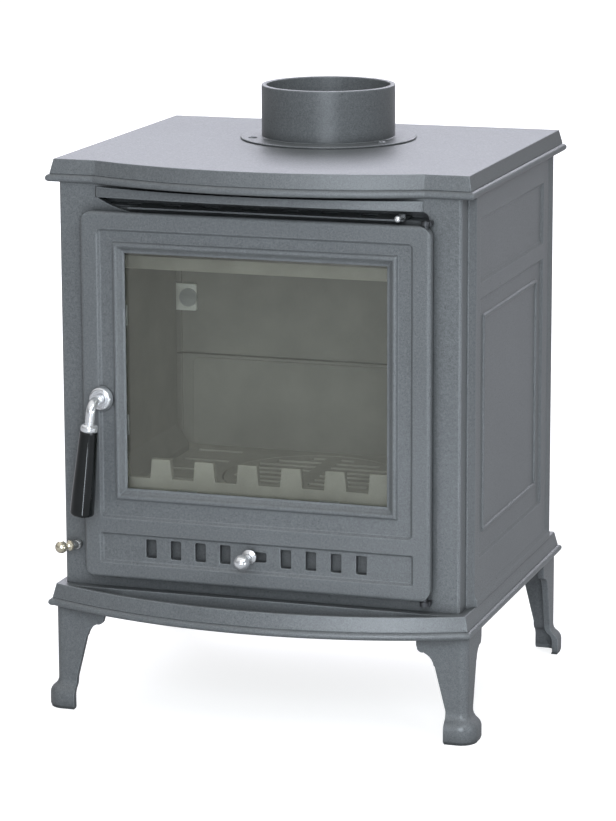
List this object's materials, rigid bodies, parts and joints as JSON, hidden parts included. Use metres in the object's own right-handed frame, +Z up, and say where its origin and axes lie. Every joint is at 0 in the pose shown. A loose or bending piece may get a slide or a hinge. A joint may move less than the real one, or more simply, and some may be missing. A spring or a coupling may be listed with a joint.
{
  "type": "wood stove",
  "caption": "Cast-iron room stove on four cabriole legs, with a glazed hinged door, turning handle, two air slides, riddling grate, ash pan, bowed plates and a top flue collar",
  "frame": {"origin": "on the floor, below the centre of the stove's bounding box", "axes": "+X to the right as seen from in front of the door, +Y from the door to the back, +Z up"},
  "size_m": [0.487, 0.4546, 0.666],
  "materials": {
    "stove_paint": "cast iron in satin grey heat-proof paint",
    "bare_cast_iron": "bare cast iron, tan with heat and ash",
    "plain_steel": "plain zinc-grey steel",
    "polished_chrome": "polished chrome plate",
    "warm_chrome": "polished plate with a warm tint",
    "dark_sheet_steel": "dark sheet steel",
    "black_grip": "glossy black moulded grip",
    "stove_glass": "smoky heat-proof glass ceramic",
    "fibre_rope": "woven glass-fibre rope and tape"
  },
  "bodies": {
    "stove": {"top_plate": "stove_paint", "collar_gasket": "fibre_rope", "collar_flange": "stove_paint", "flue_spigot": "stove_paint", "collar_screws": "stove_paint", "front_casting": "stove_paint", "visor": "stove_paint", "upper_hinge_lug": "dark_sheet_steel", "lower_hinge_lug": "dark_sheet_steel", "left_side_panel": "stove_paint", "right_side_panel": "stove_paint", "back_panel": "stove_paint", "base_plate": "stove_paint", "front_left_leg": "stove_paint", "front_right_leg": "stove_paint", "rear_left_leg": "stove_paint", "rear_right_leg": "stove_paint", "tie_rods": "plain_steel", "tie_rod_nuts": "plain_steel", "airwash_channel": "stove_paint", "left_liner": "bare_cast_iron", "right_liner": "bare_cast_iron", "lower_back_liner": "bare_cast_iron", "upper_back_liner": "bare_cast_iron", "liner_clips": "bare_cast_iron", "liner_clip_bolts": "plain_steel", "baffle_plate": "bare_cast_iron", "log_guard": "bare_cast_iron", "grate_frame": "bare_cast_iron", "ash_pan": "dark_sheet_steel", "latch_keeper": "plain_steel"},
    "door": {"door_casting": "stove_paint", "door_glass": "stove_glass", "glass_gasket": "fibre_rope", "glass_clips": "plain_steel", "glass_clip_screws": "plain_steel", "door_rope_seal": "fibre_rope", "hinge_pins": "dark_sheet_steel", "slider_guides": "plain_steel", "handle_rosette": "polished_chrome"},
    "handle": {"handle_spindle": "polished_chrome", "handle_ferrule": "polished_chrome", "handle_grip": "black_grip", "latch_tongue": "plain_steel", "latch_nut": "plain_steel"},
    "air_control": {"air_slider": "stove_paint", "air_knob": "polished_chrome"},
    "airwash_control": {"airwash_slider": "stove_paint", "airwash_knob": "polished_chrome"},
    "riddling_bar": {"riddling_rod": "plain_steel", "riddling_knob": "warm_chrome"},
    "grate": {"riddling_grate": "bare_cast_iron"}
  },
  "joints": [
    {"name": "door_hinge", "type": "hinge", "parent": "stove", "child": "door", "pos_m": [0.187, -0.1726, 0.354], "axis": [0, 0, 1], "range_deg": [0, 110]},
    {"name": "handle_turn", "type": "hinge", "parent": "door", "child": "handle", "pos_m": [-0.173, -0.1706, 0.3515], "axis": [0, 1, 0], "range_deg": [0, 80]},
    {"name": "air_slide", "type": "slide", "parent": "door", "child": "air_control", "axis": [1, 0, 0], "range_m": [0, 0.014]},
    {"name": "airwash_slide", "type": "slide", "parent": "stove", "child": "airwash_control", "axis": [1, 0, 0], "range_m": [-0.012, 0.014]},
    {"name": "riddle_slide", "type": "slide", "parent": "stove", "child": "riddling_bar", "axis": [0, -1, 0], "range_m": [0, 0.035]},
    {"name": "grate_turn", "type": "hinge", "parent": "stove", "child": "grate", "pos_m": [0, 0.0194, 0.228], "axis": [0, 0, 1], "range_deg": [0, 9.7]}
  ],
  "couplings": [
    {"joint": "grate_turn", "follows": "riddle_slide", "rad_per_m": 4.7962}
  ]
}
